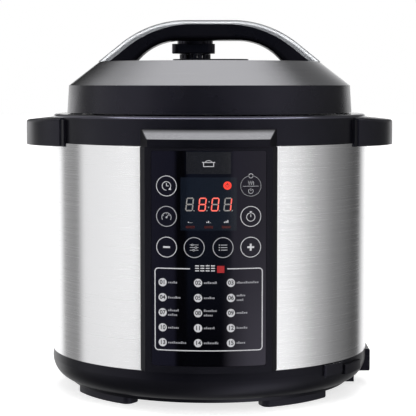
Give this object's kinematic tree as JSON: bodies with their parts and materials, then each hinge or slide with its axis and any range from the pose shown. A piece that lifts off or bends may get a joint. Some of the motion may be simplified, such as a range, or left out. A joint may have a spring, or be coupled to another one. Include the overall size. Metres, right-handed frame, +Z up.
{
  "type": "electric pressure cooker",
  "caption": "Round electric pressure cooker with brushed steel drum, curved black control panel, bayonet lid with arched handle, lift-out pot and side handles.",
  "frame": {"origin": "on the floor under the body's vertical axis", "axes": "+Z up, the control panel faces -Y, +X is the user's right when facing the panel"},
  "size_m": [0.337, 0.3058, 0.3353],
  "materials": {
    "black_plastic": "fine satin",
    "gloss_black": "high gloss",
    "brushed_steel": "brushed round the body",
    "dark_brushed_steel": "brushed round the lid",
    "silver_trim": "satin",
    "stainless": "satin",
    "cast_aluminium": "matt cast",
    "silicone": "translucent white silicone",
    "clear_plastic": "frosted clear",
    "circuit_board": "solder mask",
    "dark_electronics": "moulded case",
    "rubber_feet": "matt",
    "nickel": "plated"
  },
  "bodies": {
    "cooker": {"base_bowl": "black_plastic", "bottom_cover": "black_plastic", "cover_screws": "nickel", "foot_front_left": "rubber_feet", "foot_front_right": "rubber_feet", "foot_rear_left": "rubber_feet", "foot_rear_right": "rubber_feet", "outer_shell": "brushed_steel", "top_collar": "black_plastic", "side_handle_left": "black_plastic", "side_handle_right": "black_plastic", "liner": "stainless", "locking_ring": "stainless", "heating_plate": "cast_aluminium", "heater_posts": "nickel", "sensor_cup": "stainless", "sensor_spring": "nickel", "power_board": "circuit_board", "transformer": "dark_electronics", "relay": "dark_electronics", "inlet_housing": "black_plastic", "inlet_socket": "black_plastic", "inlet_pins": "nickel", "panel_bezel": "black_plastic", "panel_lens": "gloss_black", "control_board": "circuit_board", "display_module": "dark_electronics", "key_switches": "dark_electronics", "visor_housing": "black_plastic", "visor_plate": "brushed_steel", "collector_bracket": "black_plastic"},
    "seal": {"sealing_ring": "silicone"},
    "lid": {"lid_skirt": "black_plastic", "lid_cone": "dark_brushed_steel", "lid_top_plate": "black_plastic", "lid_handle": "black_plastic", "lid_handle_inlay": "silver_trim", "valve_plate": "black_plastic", "valve_collar": "black_plastic", "steam_pipe": "stainless", "pressure_lid": "stainless", "ring_rack": "stainless", "steam_shield": "stainless", "lid_posts": "nickel"},
    "valve_knob": {"steam_valve": "black_plastic"},
    "float_pin": {"float_valve": "stainless"},
    "pot": {"inner_pot": "stainless"},
    "sensor": {"sensor_button": "cast_aluminium"},
    "drip_cup": {"condensate_cup": "clear_plastic"},
    "key_delay": {"button_delay": "gloss_black"},
    "key_pressure": {"button_pressure": "gloss_black"},
    "key_minus": {"button_minus": "gloss_black"},
    "key_manual": {"button_manual": "gloss_black"},
    "key_menu": {"button_menu": "gloss_black"},
    "key_plus": {"button_plus": "gloss_black"},
    "key_timer": {"button_timer": "gloss_black"},
    "key_power": {"button_power": "gloss_black"}
  },
  "joints": [
    {"name": "lid_lift", "type": "slide", "parent": "cooker", "child": "seal", "axis": [0, 0, 1], "range_m": [0, 0.44]},
    {"name": "lid_turn", "type": "hinge", "parent": "seal", "child": "lid", "pos_m": [0, 0, 0.24], "axis": [0, 0, 1], "range_deg": [-30, 0]},
    {"name": "valve_turn", "type": "hinge", "parent": "lid", "child": "valve_knob", "pos_m": [-0.0138, 0.048, 0.31], "axis": [0, 0, 1], "range_deg": [0, 40]},
    {"name": "float_rise", "type": "slide", "parent": "lid", "child": "float_pin", "axis": [0, 0, 1], "range_m": [0, 0.005]},
    {"name": "pot_lift", "type": "slide", "parent": "cooker", "child": "pot", "axis": [0, 0, 1], "range_m": [0, 0.22]},
    {"name": "sensor_travel", "type": "slide", "parent": "cooker", "child": "sensor", "axis": [0, 0, 1], "range_m": [-0.003, 0], "stiffness_N_per_m": 300, "springref_m": 0.004, "deforming": ["sensor_spring"]},
    {"name": "cup_pull", "type": "slide", "parent": "cooker", "child": "drip_cup", "axis": [0, 1, 0], "range_m": [0, 0.03]},
    {"name": "press_delay", "type": "slide", "parent": "cooker", "child": "key_delay", "axis": [0, 1, 0], "range_m": [0, 0.0006], "stiffness_N_per_m": 800, "springref_m": -0.0006},
    {"name": "press_pressure", "type": "slide", "parent": "cooker", "child": "key_pressure", "axis": [0, 1, 0], "range_m": [0, 0.0006], "stiffness_N_per_m": 800, "springref_m": -0.0006},
    {"name": "press_minus", "type": "slide", "parent": "cooker", "child": "key_minus", "axis": [0, 1, 0], "range_m": [0, 0.0006], "stiffness_N_per_m": 800, "springref_m": -0.0006},
    {"name": "press_manual", "type": "slide", "parent": "cooker", "child": "key_manual", "axis": [0, 1, 0], "range_m": [0, 0.0006], "stiffness_N_per_m": 800, "springref_m": -0.0006},
    {"name": "press_menu", "type": "slide", "parent": "cooker", "child": "key_menu", "axis": [0, 1, 0], "range_m": [0, 0.0006], "stiffness_N_per_m": 800, "springref_m": -0.0006},
    {"name": "press_plus", "type": "slide", "parent": "cooker", "child": "key_plus", "axis": [0, 1, 0], "range_m": [0, 0.0006], "stiffness_N_per_m": 800, "springref_m": -0.0006},
    {"name": "press_timer", "type": "slide", "parent": "cooker", "child": "key_timer", "axis": [0, 1, 0], "range_m": [0, 0.0006], "stiffness_N_per_m": 800, "springref_m": -0.0006},
    {"name": "press_power", "type": "slide", "parent": "cooker", "child": "key_power", "axis": [0, 1, 0], "range_m": [0, 0.0006], "stiffness_N_per_m": 800, "springref_m": -0.0006}
  ],
  "couplings": [
    {"joint": "pot_lift", "follows": "lid_lift", "ratio": 0.5}
  ]
}
